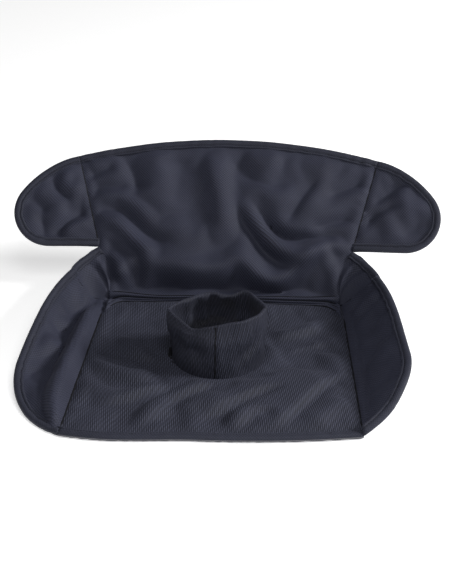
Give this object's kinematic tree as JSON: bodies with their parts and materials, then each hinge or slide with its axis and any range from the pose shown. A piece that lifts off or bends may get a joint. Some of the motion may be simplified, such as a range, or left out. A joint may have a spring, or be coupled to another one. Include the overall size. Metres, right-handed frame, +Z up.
{
  "type": "child car seat liner",
  "caption": "Padded waterproof liner for a child car seat: leaning back panel with two wings, seat panel with a fabric cuff for the harness buckle, two side bolsters.",
  "frame": {"origin": "centre of the buckle opening at the underside of the seat panel, on the resting plane", "axes": "+X to the liner's right side as seen from the front, +Y towards the back panel, +Z up out of the cuff"},
  "size_m": [0.4402, 0.3574, 0.1388],
  "materials": {
    "smooth_fabric": "smooth twill polyester",
    "ribbed_fabric": "ribbed diagonal twill polyester",
    "edge_tape": "woven binding tape",
    "backing_fabric": "knitted backing",
    "foam": "open-cell sheet foam",
    "waterproof_film": "milky translucent film"
  },
  "bodies": {
    "seat": {"seat_face_fabric": "ribbed_fabric", "seat_foam": "foam", "seat_waterproof_film": "waterproof_film", "seat_backing": "backing_fabric", "seat_front_tape": "edge_tape", "rear_seam_tuck": "smooth_fabric", "cuff_lining": "ribbed_fabric", "cuff_wall": "ribbed_fabric", "cuff_foot_tape": "edge_tape", "cuff_front_seam": "ribbed_fabric", "left_side_seam": "smooth_fabric", "left_corner_pleat": "smooth_fabric", "left_corner_tape": "edge_tape", "right_side_seam": "smooth_fabric", "right_corner_pleat": "smooth_fabric", "right_corner_tape": "edge_tape"},
    "cuff_top": {"cuff_hem": "ribbed_fabric"},
    "back": {"back_face_fabric": "smooth_fabric", "back_foam": "foam", "back_waterproof_film": "waterproof_film", "back_backing": "backing_fabric", "back_top_tape": "edge_tape", "left_wing_seam": "smooth_fabric", "right_wing_seam": "smooth_fabric"},
    "left_wing": {"left_wing_face_fabric": "smooth_fabric", "left_wing_foam": "foam", "left_wing_waterproof_film": "waterproof_film", "left_wing_backing": "backing_fabric", "left_wing_tape": "edge_tape"},
    "left_bolster": {"left_bolster_face_fabric": "smooth_fabric", "left_bolster_foam": "foam", "left_bolster_waterproof_film": "waterproof_film", "left_bolster_backing": "backing_fabric", "left_bolster_tape": "edge_tape"},
    "right_wing": {"right_wing_face_fabric": "smooth_fabric", "right_wing_foam": "foam", "right_wing_waterproof_film": "waterproof_film", "right_wing_backing": "backing_fabric", "right_wing_tape": "edge_tape"},
    "right_bolster": {"right_bolster_face_fabric": "smooth_fabric", "right_bolster_foam": "foam", "right_bolster_waterproof_film": "waterproof_film", "right_bolster_backing": "backing_fabric", "right_bolster_tape": "edge_tape"}
  },
  "joints": [
    {"name": "back_fold", "type": "hinge", "parent": "seat", "child": "back", "pos_m": [0, 0.106, 0.0026], "axis": [1, 0, 0], "range_deg": [-45, 38], "deforming": ["left_corner_pleat", "left_corner_tape", "right_corner_pleat", "right_corner_tape"]},
    {"name": "left_wing_fold", "type": "hinge", "parent": "back", "child": "left_wing", "pos_m": [-0.1307, 0.14238, 0.04596], "axis": [-0.2588, 0.6209, 0.7399], "range_deg": [-12, 60]},
    {"name": "right_wing_fold", "type": "hinge", "parent": "back", "child": "right_wing", "pos_m": [0.1307, 0.14238, 0.04596], "axis": [-0.2588, -0.6209, -0.7399], "range_deg": [-12, 60]},
    {"name": "left_bolster_fold", "type": "hinge", "parent": "seat", "child": "left_bolster", "pos_m": [-0.1205, 0.106, 0.0026], "axis": [0.0332, 0.9994, 0], "range_deg": [0, 45]},
    {"name": "right_bolster_fold", "type": "hinge", "parent": "seat", "child": "right_bolster", "pos_m": [0.1205, 0.106, 0.0026], "axis": [0.0332, -0.9994, 0], "range_deg": [0, 45]},
    {"name": "cuff_collapse", "type": "slide", "parent": "seat", "child": "cuff_top", "axis": [0, 0, -1], "range_m": [0, 0.035], "stiffness_N_per_m": 60, "deforming": ["cuff_lining", "cuff_wall", "cuff_front_seam"]}
  ]
}
